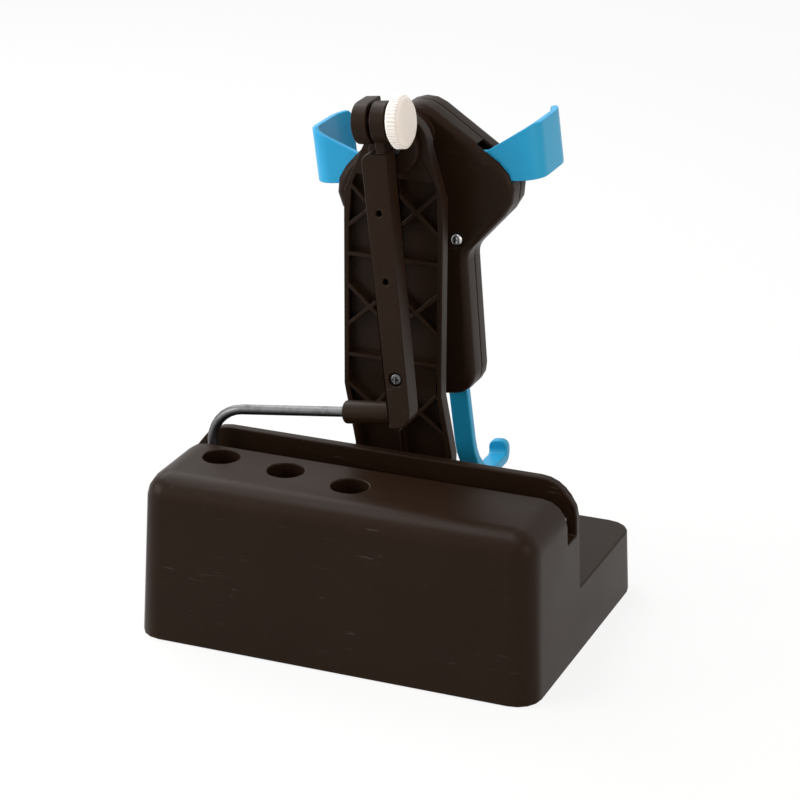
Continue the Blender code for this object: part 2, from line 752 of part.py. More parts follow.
def knob_insert():
    """Threaded brass insert in the knob."""
    centre = (HINGE_Y, HINGE_V)
    end = KNOB_SPAN[1] - KNOB_FACE - CLEARANCE
    insert = prism("knob_insert", circle(INSERT_RADIUS, centre), "X", KNOB_SPAN[0], end)
    cut(insert, prism("bore", circle(BOLT_BORE, centre), "X", KNOB_SPAN[0] - KNOB_ROUND, end + KNOB_FACE))
    return finish(insert, BRASS, 0.35, 1.0)


def arm_y(height):
    """Where the arm's middle lies in depth: it leans away from the mast towards its sleeve."""
    return HINGE_Y + height / SLEEVE_V * (SLEEVE_Y - HINGE_Y)


def arm_u(height):
    """Middle of the arm's width at a height."""
    share = height / SLEEVE_V
    return (sum(ARM_TOP) + share * (sum(ARM_BOTTOM) - sum(ARM_TOP))) / 2


def arm_sink_floor():
    """How deep the sink for the arm's screw goes."""
    return arm_y(ARM_SCREW_V) - ARM_THICKNESS / 2 + SCREW_HEAD + 2 * CLEARANCE


def arm():
    """Leaning bar with an eye at the top and a sideways sleeve at the bottom."""
    bottom = SLEEVE_V - SLEEVE_RADIUS - CLEARANCE
    outline = rounded([
        (ARM_TOP[0], ARM_SHOULDER, ARM_CORNER / 2),
        (ARM_TOP[1], ARM_SHOULDER, 0.0),
        (ARM_BOTTOM[1], bottom, ARM_CORNER),
        (ARM_BOTTOM[0], bottom, 0.0),
    ])
    bar = prism("arm", outline, "Y", -ARM_THICKNESS / 2, ARM_THICKNESS / 2)
    for vertex in bar.data.vertices:
        vertex.co.y += arm_y(vertex.co.z)
    near = HINGE_Y - ARM_THICKNESS / 2 + CLEARANCE
    far = HINGE_Y + ARM_THICKNESS / 2 - CLEARANCE
    neck = rectangle((EYE_SPAN[0], -HINGE_V), (ARM_TOP[1] - CLEARANCE, HINGE_V))
    fuse(bar, prism("neck", neck, "Y", near, far))
    hinge = (HINGE_Y, HINGE_V)
    fuse(bar, prism("eye", circle(BARREL_RADIUS, hinge), "X", *EYE_SPAN))
    sleeve = (SLEEVE_Y, SLEEVE_V)
    fuse(bar, prism("sleeve", circle(SLEEVE_RADIUS, sleeve), "X", SLEEVE_END, sum(ARM_BOTTOM) / 2))
    cut(bar, prism("bolt", circle(BOLT_BORE, hinge), "X", EYE_SPAN[0] - BOLT_HEAD, EYE_SPAN[1] + BOLT_HEAD))
    socket = circle(ROD_RADIUS + CLEARANCE, sleeve)
    cut(bar, prism("socket", socket, "X", SLEEVE_END - ROD_GRIP, SLEEVE_END + ROD_GRIP))
    holes = [circle(ARM_HOLE_RADIUS, (arm_u(v), v), 12) for v in ARM_HOLES]
    holes.append(circle(SCREW_RADIUS + CLEARANCE, (arm_u(ARM_SCREW_V), ARM_SCREW_V), 12))
    cut(bar, prisms("holes", holes, "Y", SLEEVE_Y - ARM_THICKNESS, HINGE_Y + ARM_THICKNESS))
    sink = circle(SCREW_HEAD_RADIUS + CLEARANCE, (arm_u(ARM_SCREW_V), ARM_SCREW_V), 16)
    cut(bar, prism("sink", sink, "Y", SLEEVE_Y - ARM_THICKNESS, arm_sink_floor()))
    return plastic(bar)


def arm_screw():
    """Small sunk screw in the arm above the sleeve."""
    seat = arm_sink_floor() - CLEARANCE - SCREW_HEAD
    return screws("arm_screw", [(arm_u(ARM_SCREW_V), ARM_SCREW_V)], "Y", seat, 1)


def sweep(name, points, sideways, radius, sides):
    """A round bar along the points, closed at both ends."""
    shape = bmesh.new()
    rings = []
    last = len(points) - 1
    for index, point in enumerate(points):
        ahead = points[min(index + 1, last)] - points[max(index - 1, 0)]
        second = ahead.cross(sideways[index]).normalized()
        first = second.cross(ahead).normalized()
        ring = []
        for a, b in circle(radius, sides=sides):
            ring.append(shape.verts.new(point + first * a + second * b))
        rings.append(ring)
    for lower, upper in zip(rings, rings[1:]):
        for index in range(sides):
            follow = (index + 1) % sides
            shape.faces.new((lower[index], lower[follow], upper[follow], upper[index]))
    shape.faces.new(rings[0])
    shape.faces.new(rings[-1])
    return make(name, shape)


def rod():
    """Steel rod out of the sleeve, bent down into the slot of the base."""
    centre = (ROD_REACH + ROD_BEND, SLEEVE_V - ROD_BEND)
    steps = 8
    route = [(SLEEVE_END + ROD_GRIP - CLEARANCE, SLEEVE_V)]
    route += [polar(ROD_BEND, math.pi * (0.5 + 0.5 * step / steps), centre) for step in range(steps + 1)]
    route.append((ROD_REACH, ROD_TIP))
    points = [Vector((u, SLEEVE_Y, v)) for u, v in route]
    return steel(sweep("rod", points, [Vector((0.0, 1.0, 0.0))] * len(points), ROD_RADIUS, 12))


def housing_corners():
    """Corners of the shield-shaped housing, clockwise from its top."""
    right = [
        (CORNER_U, CORNER_V, CORNER_ROUND),
        (STEM_HALF_WIDTH, WAIST_V, WAIST_ROUND),
        (STEM_FOOT_HALF_WIDTH, STEM_BOTTOM, STEM_ROUND),
    ]
    left = [(-u, v, radius) for u, v, radius in reversed(right)]
    return [(0.0, APEX_V, APEX_ROUND)] + right + left


def housing_half(name, rim, split):
    """One half of the housing, hollow towards the split and rounded along its outer rim."""
    half = prism(name, rounded(housing_corners()), "Y", rim, split)
    reach = HOUSING_FILLET / 2

    def on_rim(point, edge):
        """Picks the edges that lie in the rim's face."""
        return all(abs(vertex.co.y - rim) < reach for vertex in edge.verts)

    bevel(half, HOUSING_FILLET, on_rim)
    way = math.copysign(HOUSING_WALL, split - rim)
    space = rounded(inset(housing_corners(), HOUSING_WALL))
    return cut(half, prism("space", space, "Y", rim + way, split + way))


def clamp_screw_places():
    """Centres of the two housing screws."""
    return [(-CLAMP_SCREW_U, CLAMP_SCREW_V), (CLAMP_SCREW_U, CLAMP_SCREW_V)]


def clamp_rear_cover():
    """Rear half of the housing, with the pivot boss, the jaw slots and the spring seat."""
    cover = housing_half("clamp_rear_cover", HOUSING_REAR, HOUSING_SPLIT)
    inside = HOUSING_REAR + HOUSING_WALL / 2
    fuse(cover, prism("boss", circle(HUB_BOSS_RADIUS), "Y", HUB_BOSS_REAR, inside))
    seat_top = SPRING_BOTTOM - CLEARANCE
    seat = rectangle((-SLIDER_HALF_WIDTH, seat_top - SPRING_SEAT), (SLIDER_HALF_WIDTH, seat_top))
    fuse(cover, prism("seat", seat, "Y", inside, SLIDER_REAR - CLEARANCE))
    cut(cover, prism("bore", circle(SHAFT_BORE), "Y", MAST_FRONT, HOUSING_SPLIT))
    slot_top = TAIL_TOP + JAW_TRAVEL * JAW_RISE + CLEARANCE
    slot = rectangle((-CORNER_U, JAW_BOTTOM - CLEARANCE), (CORNER_U, slot_top))
    slot_rear = JAW_PLANE - JAW_THICKNESS / 2 - CLEARANCE
    cut(cover, prism("slots", slot, "Y", slot_rear, HOUSING_SPLIT + HOUSING_WALL))
    places = clamp_screw_places()
    sinks = [circle(SCREW_HEAD_RADIUS + CLEARANCE, place, 12) for place in places]
    cut(cover, prisms("sinks", sinks, "Y", MAST_FRONT, HOUSING_REAR + HOUSING_WALL / 2))
    holes = [circle(SCREW_RADIUS + CLEARANCE, place, 12) for place in places]
    cut(cover, prisms("holes", holes, "Y", HOUSING_REAR, HOUSING_FLOOR + HOUSING_WALL))
    post = circle(SPRING_POST_RADIUS + CLEARANCE, (0.0, SPRING_Y), 10)
    cut(cover, prism("post", post, "Z", seat_top - 2 * SPRING_SEAT, seat_top + SPRING_SEAT))
    return plastic(cover)


def clamp_front_cover():
    """Front half of the housing, with the screw posts and the opening for the foot."""
    cover = housing_half("clamp_front_cover", HOUSING_FRONT, FRONT_COVER_REAR)
    inside = HOUSING_FRONT - HOUSING_WALL / 2
    places = clamp_screw_places()
    posts = [circle(CLAMP_POST_RADIUS, place, 12) for place in places]
    fuse(cover, prisms("posts", posts, "Y", HOUSING_FLOOR + CLEARANCE, inside))
    pilots = [circle(SCREW_RADIUS + CLEARANCE, place, 12) for place in places]
    cut(cover, prisms("pilots", pilots, "Y", HOUSING_REAR, HOUSING_REAR + SCREW_BITE + SCREW_HEAD))
    gap = 2 * CLEARANCE
    low = (-FOOT_HALF_WIDTH - gap, FOOT_REAR - gap)
    high = (FOOT_HALF_WIDTH + gap, FOOT_FRONT + gap)
    opening = prism("opening", rectangle(low, high), "Z", STEM_BOTTOM - STEM_ROUND, STEM_BOTTOM + STEM_ROUND)
    cut(cover, opening)
    return plastic(cover)


def clamp_screws():
    """Two screws from behind into the posts of the front cover."""
    seat = HOUSING_REAR + HOUSING_WALL / 2 - CLEARANCE - SCREW_HEAD
    return screws("clamp_screw", clamp_screw_places(), "Y", seat, 1)


def ribbon(route, thickness):
    """Outline of a strip with the route as its middle line."""
    sides = ([], [])
    last = len(route) - 1
    for index, point in enumerate(route):
        back = towards(route[max(index - 1, 0)], route[max(index, 1)])
        ahead = towards(route[min(index, last - 1)], route[min(index + 1, last)])
        share = thickness / 2 / (1 + back[0] * ahead[0] + back[1] * ahead[1])
        off = ((back[1] + ahead[1]) * share, -(back[0] + ahead[0]) * share)
        sides[0].append((point[0] + off[0], point[1] + off[1]))
        sides[1].append((point[0] - off[0], point[1] - off[1]))
    return sides[0] + sides[1][::-1]


def foot():
    """Blue strip that carries the phone: a straight bar, a heel and an upturned lip."""
    bar_y = FOOT_REAR + FOOT_THICKNESS / 2
    level = FOOT_UNDERSIDE + FOOT_THICKNESS / 2
    heel = (bar_y + FOOT_HEEL_ROUND, level + FOOT_HEEL_ROUND)
    lip_y = FOOT_REACH - FOOT_THICKNESS / 2
    toe = (lip_y - FOOT_LIP_ROUND, level + FOOT_LIP_ROUND)
    steps = 6
    route = [(bar_y, FOOT_TOP)]
    route += [polar(FOOT_HEEL_ROUND, math.pi * (1 + 0.5 * step / steps), heel) for step in range(steps + 1)]
    route += [polar(FOOT_LIP_ROUND, math.pi * (1.5 + 0.5 * step / steps), toe) for step in range(steps + 1)]
    route.append((lip_y, FOOT_UNDERSIDE + FOOT_LIP_HEIGHT))
    strip = prism("foot", ribbon(route, FOOT_THICKNESS), "X", -FOOT_HALF_WIDTH, FOOT_HALF_WIDTH)

    def lip_corner(point, edge):
        """Picks the two corners at the top of the lip."""
        across = abs(edge.verts[0].co.x - edge.verts[1].co.x) > CLEARANCE
        return point.y > toe[0] and abs(point.z - route[-1][1]) < CLEARANCE and not across

    bevel(strip, FOOT_LIP_CORNER, lip_corner, 4)
    holes = [circle(SCREW_RADIUS + CLEARANCE, (0.0, v), 12) for v in FOOT_SCREWS]
    cut(strip, prisms("holes", holes, "Y", SLIDER_REAR, FOOT_FRONT + FOOT_THICKNESS))
    return finish(strip, BLUE, 0.35, 0.0)


def foot_slider():
    """Sliding T inside the housing that carries the foot and the two drive pins."""
    top = PIN_V + CROSSBAR_HEIGHT / 2
    under = PIN_V - CROSSBAR_HEIGHT / 2
    outline = [
        (-CROSSBAR_HALF_LENGTH, top),
        (CROSSBAR_HALF_LENGTH, top),
        (CROSSBAR_HALF_LENGTH, under),
        (SLIDER_HALF_WIDTH, under),
        (SLIDER_HALF_WIDTH, SLIDER_BOTTOM),
        (-SLIDER_HALF_WIDTH, SLIDER_BOTTOM),
        (-SLIDER_HALF_WIDTH, under),
        (-CROSSBAR_HALF_LENGTH, under),
    ]
    slider = prism("foot_slider", outline, "Y", SLIDER_REAR, SLIDER_FRONT)
    lug_half = SPRING_RADIUS + SPRING_WIRE
    lug = rectangle((-lug_half, SPRING_TOP), (lug_half, SPRING_TOP + SPRING_LUG))
    fuse(slider, prism("lug", lug, "Y", SPRING_Y - lug_half, SLIDER_REAR + SLIDER_THICKNESS / 2))
    holes = [circle(PIN_RADIUS + CLEARANCE, (side * PIN_U, PIN_V), 12) for side in (-1, 1)]
    holes += [circle(SCREW_RADIUS + CLEARANCE, (0.0, v), 12) for v in FOOT_SCREWS]
    cut(slider, prisms("holes", holes, "Y", HOUSING_FLOOR, HOUSING_FRONT))
    return plastic(slider)


def foot_screws():
    """Two screws that hold the foot to the slider."""
    seat = SLIDER_REAR - CLEARANCE - SCREW_HEAD
    return screws("foot_screw", [(0.0, v) for v in FOOT_SCREWS], "Y", seat, 1)


def drive_pins():
    """Two pins of the slider that run in the slanted slots of the jaws."""
    pins = []
    for name, side in (("drive_pin_left", -1), ("drive_pin_right", 1)):
        outline = circle(PIN_RADIUS, (side * PIN_U, PIN_V), 12)
        pins.append(steel(prism(name, outline, "Y", HOUSING_FLOOR + 2 * CLEARANCE, SLIDER_FRONT)))
    return pins


def jaw(name, side):
    """Side jaw: a tail with a slanted slot inside the housing and a grip plate outside it."""
    bend = (JAW_U - JAW_BEND, JAW_PLANE + JAW_BEND)
    turn = 5
    route = [(TAIL_INNER, JAW_PLANE)]
    route += [polar(JAW_BEND, math.pi / 2 * (step / turn - 1), bend) for step in range(turn + 1)]
    curl = (JAW_U - JAW_CURL_RADIUS, JAW_CURL_START)
    route += [polar(JAW_CURL_RADIUS, JAW_CURL * step / turn, curl) for step in range(turn + 1)]
    tip = Vector((side * route[-1][0], route[-1][1]))
    plan = [(side * u, y) for u, y in ribbon(route, JAW_THICKNESS)]
    plate = prism(name, plan, "Z", JAW_BOTTOM, JAW_TOP)

    def tip_corner(point, edge):
        """Picks the upper and the lower corner of the tip."""
        return (point.xy - tip).length < CLEARANCE

    bevel(plate, JAW_TIP_ROUND, tip_corner, 4)
    above = JAW_TOP + JAW_THICKNESS
    spare = [
        (side * (TAIL_INNER - JAW_THICKNESS), TAIL_TOP),
        (side * JAW_NECK, TAIL_TOP),
        (side * (JAW_NECK + (above - TAIL_TOP) / JAW_RISE), above),
        (side * (TAIL_INNER - JAW_THICKNESS), above),
    ]
    cut(plate, prism("spare", spare, "Y", HOUSING_REAR, JAW_PLANE + JAW_BEND))
    start = (side * PIN_U, PIN_V)
    end = (side * (PIN_U + JAW_TRAVEL), PIN_V - FOOT_TRAVEL)
    aim = math.atan2(end[1] - start[1], end[0] - start[0])
    radius = PIN_RADIUS + 2 * CLEARANCE
    steps = 6
    slot = [polar(radius, aim + math.pi * (0.5 + step / steps), start) for step in range(steps + 1)]
    slot += [polar(radius, aim + math.pi * (1.5 + step / steps), end) for step in range(steps + 1)]
    cut(plate, prism("cam", slot, "Y", HOUSING_REAR, HOUSING_SPLIT))
    return finish(plate, BLUE, 0.35, 0.0)


def spring_post():
    """Guide pin inside the return spring."""
    bottom = SPRING_BOTTOM - CLEARANCE - SPRING_SEAT
    top = SPRING_TOP - FOOT_TRAVEL - SPRING_LUG
    return steel(prism("spring_post", circle(SPRING_POST_RADIUS, (0.0, SPRING_Y), 10), "Z", bottom, top))


def return_spring():
    """Coil spring that lifts the foot and opens the jaws."""
    each_turn = 10
    count = SPRING_TURNS * each_turn
    low = SPRING_BOTTOM + SPRING_WIRE
    high = SPRING_TOP - SPRING_WIRE - 2 * CLEARANCE
    points = []
    outward = []
    for step in range(count + 1):
        a, b = polar(1.0, 2 * math.pi * step / each_turn)
        outward.append(Vector((a, b, 0.0)))
        height = low + (high - low) * step / count
        points.append(Vector((SPRING_RADIUS * a, SPRING_Y + SPRING_RADIUS * b, height)))
    return steel(sweep("return_spring", points, outward, SPRING_WIRE, 6))


def pivot_empty(name, place, parent=None):
    """An empty on a joint axis, for the pieces that move about it."""
    empty = bpy.data.objects.new(name, None)
    bpy.context.scene.collection.objects.link(empty)
    empty.location = place
    empty.parent = parent
    return empty


def hang(pieces, empty, shift=(0.0, 0.0, 0.0)):
    """Parents pieces to an empty, whose place in their drawing frame is the shift."""
    for piece in pieces:
        for vertex in piece.data.vertices:
            vertex.co -= Vector(shift)
        piece.parent = empty


def main():
    """Builds the base, the mast and the rolled pendulum."""
    for old in list(bpy.data.objects):
        bpy.data.objects.remove(old)
    base_shell()
    slot_pin()
    bottom_plate()
    bottom_plate_screws()
    anti_slip_pad()
    ballast_weight()
    mast()
    mast_screws()
    bush("rear_bush", MAST_REAR, 1)
    bush("front_bush", BOSS_FRONT + CLEARANCE + BUSH_FLANGE, -1)
    pendulum = pivot_empty("pendulum_pivot", (0.0, 0.0, PIVOT_HEIGHT))
    pendulum.rotation_euler = (0.0, -ROLL, 0.0)
    hang([hub_bracket(), pivot_shaft(), shaft_nut(), hinge_bolt(), arm(), *arm_screw(), rod()], pendulum)
    hang([clamp_rear_cover(), clamp_front_cover(), *clamp_screws()], pendulum)
    hang([spring_post(), return_spring()], pendulum)
    hinge = (0.0, HINGE_Y, HINGE_V)
    hang([knob(), knob_insert()], pivot_empty("knob_axis", hinge, pendulum), hinge)
    slide = pivot_empty("foot_slide", (0.0, 0.0, 0.0), pendulum)
    hang([foot(), foot_slider(), *foot_screws(), *drive_pins()], slide)
    hang([jaw("jaw_left", -1), jaw("jaw_right", 1)], pivot_empty("jaw_slide", (0.0, 0.0, 0.0), pendulum))


main()
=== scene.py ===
"""Looks of the swinging phone cradle: moulded skins, finishes, light and camera around the fixed frame."""
import json
import logging
import math
from dataclasses import dataclass, field
from enum import Enum

import bmesh
import bpy
from mathutils import Matrix, Vector

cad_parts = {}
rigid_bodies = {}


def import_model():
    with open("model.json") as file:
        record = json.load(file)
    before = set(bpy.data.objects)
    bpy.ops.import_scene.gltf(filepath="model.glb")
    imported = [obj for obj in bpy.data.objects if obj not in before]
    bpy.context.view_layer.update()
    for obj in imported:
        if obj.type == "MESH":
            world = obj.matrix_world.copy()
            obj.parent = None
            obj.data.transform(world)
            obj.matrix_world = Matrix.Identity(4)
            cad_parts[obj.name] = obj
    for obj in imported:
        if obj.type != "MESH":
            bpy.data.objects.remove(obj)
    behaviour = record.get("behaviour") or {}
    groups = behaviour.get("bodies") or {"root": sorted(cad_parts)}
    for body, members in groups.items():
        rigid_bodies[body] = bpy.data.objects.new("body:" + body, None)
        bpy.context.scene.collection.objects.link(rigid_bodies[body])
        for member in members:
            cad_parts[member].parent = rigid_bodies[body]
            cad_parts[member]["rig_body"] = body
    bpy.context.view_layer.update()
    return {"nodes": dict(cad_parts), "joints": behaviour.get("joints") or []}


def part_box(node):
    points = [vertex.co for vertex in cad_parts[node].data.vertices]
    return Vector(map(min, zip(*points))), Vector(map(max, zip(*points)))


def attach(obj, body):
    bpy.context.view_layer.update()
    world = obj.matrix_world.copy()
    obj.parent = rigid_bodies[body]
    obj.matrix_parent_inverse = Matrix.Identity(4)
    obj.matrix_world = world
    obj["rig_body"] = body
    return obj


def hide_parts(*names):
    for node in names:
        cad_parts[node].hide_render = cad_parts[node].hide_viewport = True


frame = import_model()

LOG = logging.getLogger("cradle")
Colour = tuple[float, float, float]
XYZ = tuple[float, float, float]
Band = tuple[float, float]
PURE_WHITE = (1.0, 1.0, 1.0, 1.0)
MIX_COLOUR_INPUTS = (6, 7)
MIX_COLOUR_OUTPUT = 2
SOFT_CORNER = 3


class Wire:
    """A value socket of a shader tree that grows Math nodes when it is used in an expression."""

    def __init__(self, tree: bpy.types.NodeTree, socket: bpy.types.NodeSocket) -> None:
        """Keeps the tree and the socket that carries the value.

        Args:
            tree: The shader tree that new nodes go into.
            socket: The output socket with the value.
        """
        self.tree = tree
        self.socket = socket

    def _math(self, operation: str, left: "Wire | float", right: "Wire | float") -> "Wire":
        """Adds one Math node.

        Args:
            operation: The Math node's operation.
            left: The first operand.
            right: The second operand.

        Returns:
            The node's result.
        """
        node = self.tree.nodes.new("ShaderNodeMath")
        node.operation = operation
        for slot, operand in zip(node.inputs, (left, right)):
            if isinstance(operand, Wire):
                self.tree.links.new(operand.socket, slot)
            else:
                slot.default_value = operand
        return Wire(self.tree, node.outputs[0])

    def __add__(self, other: "Wire | float") -> "Wire":
        """Sum of two values."""
        return self._math("ADD", self, other)

    def __radd__(self, other: float) -> "Wire":
        """Sum with a number on the left."""
        return self._math("ADD", other, self)

    def __mul__(self, other: "Wire | float") -> "Wire":
        """Product of two values."""
        return self._math("MULTIPLY", self, other)

    def __rmul__(self, other: float) -> "Wire":
        """Product with a number on the left."""
        return self._math("MULTIPLY", other, self)

    def larger(self, other: "Wire | float") -> "Wire":
        """The larger of two values."""
        return self._math("MAXIMUM", self, other)


class ShaderBench:
    """One material's node tree, with a short way to add nodes and wire them."""

    def __init__(self, name: str) -> None:
        """Starts a material with its Principled shader.

        Args:
            name: The material's name.
        """
        self.material = bpy.data.materials.new(name)
        self.material.use_nodes = True
        self.tree = self.material.node_tree
        self.shader = self.tree.nodes["Principled BSDF"]
        self.place = self.add("ShaderNodeTexCoord", {}).outputs["Object"]

    @classmethod
    def of_tree(cls, tree: bpy.types.NodeTree) -> "ShaderBench":
        """A bench on a tree that exists, such as the world's."""
        bench = cls.__new__(cls)
        bench.tree = tree
        return bench

    def seen_by_eye(self) -> Wire:
        """A mask that is 1 for camera, glossy and transmission rays."""
        path = self.add("ShaderNodeLightPath", {})
        camera, glossy, through = (
            Wire(self.tree, path.outputs[f"Is {name} Ray"]) for name in ("Camera", "Glossy", "Transmission")
        )
        return camera.larger(glossy).larger(through)

    def add(self, kind: str, settings: dict, **inputs: object) -> bpy.types.Node:
        """Adds a node, sets it, then fills its sockets.

        Args:
            kind: The node's type.
            settings: Attributes of the node; stops is a list of (position, grey) for a ramp.
            inputs: Values or links of its sockets, by name with _ for a space.

        Returns:
            The new node.
        """
        node = self.tree.nodes.new(kind)
        for key, value in settings.items():
            if key == "stops":
                for stop, (position, grey) in zip(node.color_ramp.elements, value):
                    stop.position = position
                    stop.color = (grey, grey, grey, 1.0)
            else:
                setattr(node, key, value)
        for key, value in inputs.items():
            self.set(node.inputs[key.replace("_", " ")], value)
        return node

    def set(self, socket: bpy.types.NodeSocket, value: object) -> None:
        """Links or sets one socket.

        Args:
            socket: The socket to feed.
            value: A Wire, an output socket or a plain value.
        """
        if isinstance(value, Wire):
            self.tree.links.new(value.socket, socket)
        elif isinstance(value, bpy.types.NodeSocket):
            self.tree.links.new(value, socket)
        else:
            socket.default_value = value

    def noise(self, scale: float, detail: float, stretch: XYZ = (1.0, 1.0, 1.0)) -> Wire:
        """Noise on Object coordinates.

        Args:
            scale: Cells for each metre.
            detail: Octaves of finer noise.
            stretch: How the coordinates are scaled along X, Y and Z.

        Returns:
            The noise value from 0 to 1.
        """
        mapped = self.add("ShaderNodeMapping", {}, Vector=self.place, Scale=stretch)
        noise = self.add("ShaderNodeTexNoise", {}, Vector=mapped.outputs[0], Scale=scale, Detail=detail)
        return Wire(self.tree, noise.outputs[0])

    def steps(self, value: Wire, low: float, high: float) -> Wire:
        """A mask that rises from 0 at low to 1 at high.

        Args:
            value: The value to read.
            low: Where the mask starts.
            high: Where it is full.

        Returns:
            The mask.
        """
        ramp = self.add("ShaderNodeValToRGB", {"stops": [(low, 0.0), (high, 1.0)]}, Fac=value)
        return Wire(self.tree, ramp.outputs[0])

    def mix(self, share: Wire, first: object, second: object) -> bpy.types.NodeSocket:
        """Mixes two colours.

        Args:
            share: How much of the second colour shows.
            first: A colour or a colour socket.
            second: A colour or a colour socket.

        Returns:
            The mixed colour.
        """
        node = self.add("ShaderNodeMix", {"data_type": "RGBA"})
        self.set(node.inputs[0], share)
        for index, colour in zip(MIX_COLOUR_INPUTS, (first, second)):
            self.set(node.inputs[index], (*colour, 1.0) if isinstance(colour, tuple) else colour)
        return node.outputs[MIX_COLOUR_OUTPUT]

    def bump(self, height: Wire, depth: float, strength: float) -> None:
        """Feeds a bump to the shader's normal.

        Args:
            height: The height from 0 to 1.
            depth: How deep the relief is, in metres.
            strength: How strongly it shows.
        """
        node = self.add("ShaderNodeBump", {}, Height=height, Distance=depth, Strength=strength)
        self.set(self.shader.inputs["Normal"], node.outputs[0])


@dataclass(frozen=True)
class MouldedPlastic:
    """Moulded plastic with a fine grain, soft mottling, scuffs and a few dust specks."""

    name: str
    colour: Colour
    shade: Colour
    scuff: Colour
    roughness: float
    specular: float
    grain: float = 2600.0
    grain_depth: float = 0.00004
    scuff_amount: float = 0.35
    grain_strength: float = 0.35
    mottle_scale: float = 38.0
    streak_scale: float = 90.0
    streak_stretch: XYZ = (1.0, 1.0, 9.0)
    streak_band: Band = (0.66, 0.72)
    patch_scale: float = 55.0
    patch_band: Band = (0.5, 0.68)
    speck_scale: float = 900.0
    speck_band: Band = (0.765, 0.79)
    speck_share: float = 0.5
    gloss_spread: float = 0.12
    wear_roughness: float = 0.15

    def build(self) -> bpy.types.Material:
        """Makes the material.

        Returns:
            The finished material.
        """
        bench = ShaderBench(self.name)
        mottle = bench.noise(self.mottle_scale, detail=3.0)
        streaks = bench.noise(self.streak_scale, detail=4.0, stretch=self.streak_stretch)
        patches = bench.noise(self.patch_scale, detail=2.0)
        specks = bench.noise(self.speck_scale, detail=1.0)
        scuffs = bench.steps(streaks, *self.streak_band) * bench.steps(patches, *self.patch_band)
        dust = bench.steps(specks, *self.speck_band) * (self.speck_share * self.scuff_amount)
        wear = scuffs * self.scuff_amount + dust
        clean = bench.mix(mottle, self.colour, self.shade)
        bench.set(bench.shader.inputs["Base Color"], bench.mix(wear, clean, self.scuff))
        sheen = self.roughness - self.gloss_spread / 2 + self.gloss_spread * mottle
        bench.set(bench.shader.inputs["Roughness"], sheen + self.wear_roughness * wear)
        bench.shader.inputs["Specular IOR Level"].default_value = self.specular
        bench.bump(bench.noise(self.grain, detail=2.0), self.grain_depth, self.grain_strength)
        return bench.material


@dataclass(frozen=True)
class DrawnMetal:
    """Bare metal with drawing lines along one axis and small stains."""

    name: str
    colour: Colour
    stain: Colour
    roughness: float
    stretch: XYZ = (0.08, 1.0, 1.0)
    line_scale: float = 1500.0
    line_depth: float = 0.00003
    line_strength: float = 0.25
    line_roughness: float = 0.1
    stain_scale: float = 240.0
    stain_band: Band = (0.48, 0.72)
    stain_roughness: float = 0.16

    def build(self) -> bpy.types.Material:
        """Makes the material.

        Returns:
            The finished material.
        """
        bench = ShaderBench(self.name)
        lines = bench.noise(self.line_scale, detail=3.0, stretch=self.stretch)
        stains = bench.steps(bench.noise(self.stain_scale, detail=3.0), *self.stain_band)
        bench.set(bench.shader.inputs["Base Color"], bench.mix(stains, self.colour, self.stain))
        dulled = self.roughness + self.stain_roughness * stains
        bench.set(bench.shader.inputs["Roughness"], dulled + self.line_roughness * lines)
        bench.shader.inputs["Metallic"].default_value = 1.0
        bench.bump(lines, self.line_depth, self.line_strength)
        return bench.material


@dataclass(frozen=True)
class RubberSheet:
    """Matte rubber with a cast grain."""

    name: str
    colour: Colour
    dust: Colour
    dust_scale: float = 70.0
    dust_band: Band = (0.5, 0.75)
    roughness: float = 0.8
    grain: float = 1200.0
    grain_depth: float = 0.00012
    grain_strength: float = 0.6
    grain_roughness: float = 0.15

    def build(self) -> bpy.types.Material:
        """Makes the material.

        Returns:
            The finished material.
        """
        bench = ShaderBench(self.name)
        grain = bench.noise(self.grain, detail=3.0)
        dust = bench.steps(bench.noise(self.dust_scale, detail=4.0), *self.dust_band)
        bench.set(bench.shader.inputs["Base Color"], bench.mix(dust, self.colour, self.dust))
        bench.set(bench.shader.inputs["Roughness"], self.roughness + self.grain_roughness * grain)
        bench.bump(grain, self.grain_depth, self.grain_strength)
        return bench.material


class Finish(Enum):
    """The finishes that the cradle's pieces take."""

    BLACK = MouldedPlastic(
        "satin_black", (0.0140, 0.0068, 0.0034), (0.0175, 0.0090, 0.0050), (0.085, 0.078, 0.07),
        roughness=0.38, specular=0.08,
    )
    BLUE = MouldedPlastic(
        "sky_blue", (0.012, 0.305, 0.570), (0.017, 0.335, 0.615), (0.20, 0.50, 0.70),
        roughness=0.36, specular=0.22, grain=2000.0, grain_depth=0.00002, scuff_amount=0.12,
    )
    WHITE = MouldedPlastic(
        "warm_white", (0.76, 0.725, 0.685), (0.82, 0.79, 0.755), (0.45, 0.41, 0.36),
        roughness=0.46, specular=0.4, grain=1800.0, grain_depth=0.00003, scuff_amount=0.2,
    )
    ROD_STEEL = DrawnMetal("rod_steel", (0.12, 0.12, 0.125), (0.055, 0.054, 0.052), 0.34)
    BRIGHT_STEEL = DrawnMetal("bright_steel", (0.56, 0.56, 0.57), (0.34, 0.33, 0.32), 0.24)
    CAST_STEEL = DrawnMetal("ballast_steel", (0.30, 0.30, 0.31), (0.16, 0.14, 0.12), 0.5, (1.0, 1.0, 1.0))
    BRASS = DrawnMetal("turned_brass", (0.62, 0.43, 0.16), (0.36, 0.24, 0.09), 0.3, (1.0, 0.1, 1.0))
    RUBBER = RubberSheet("pad_rubber", (0.012, 0.012, 0.012), (0.035, 0.034, 0.033))


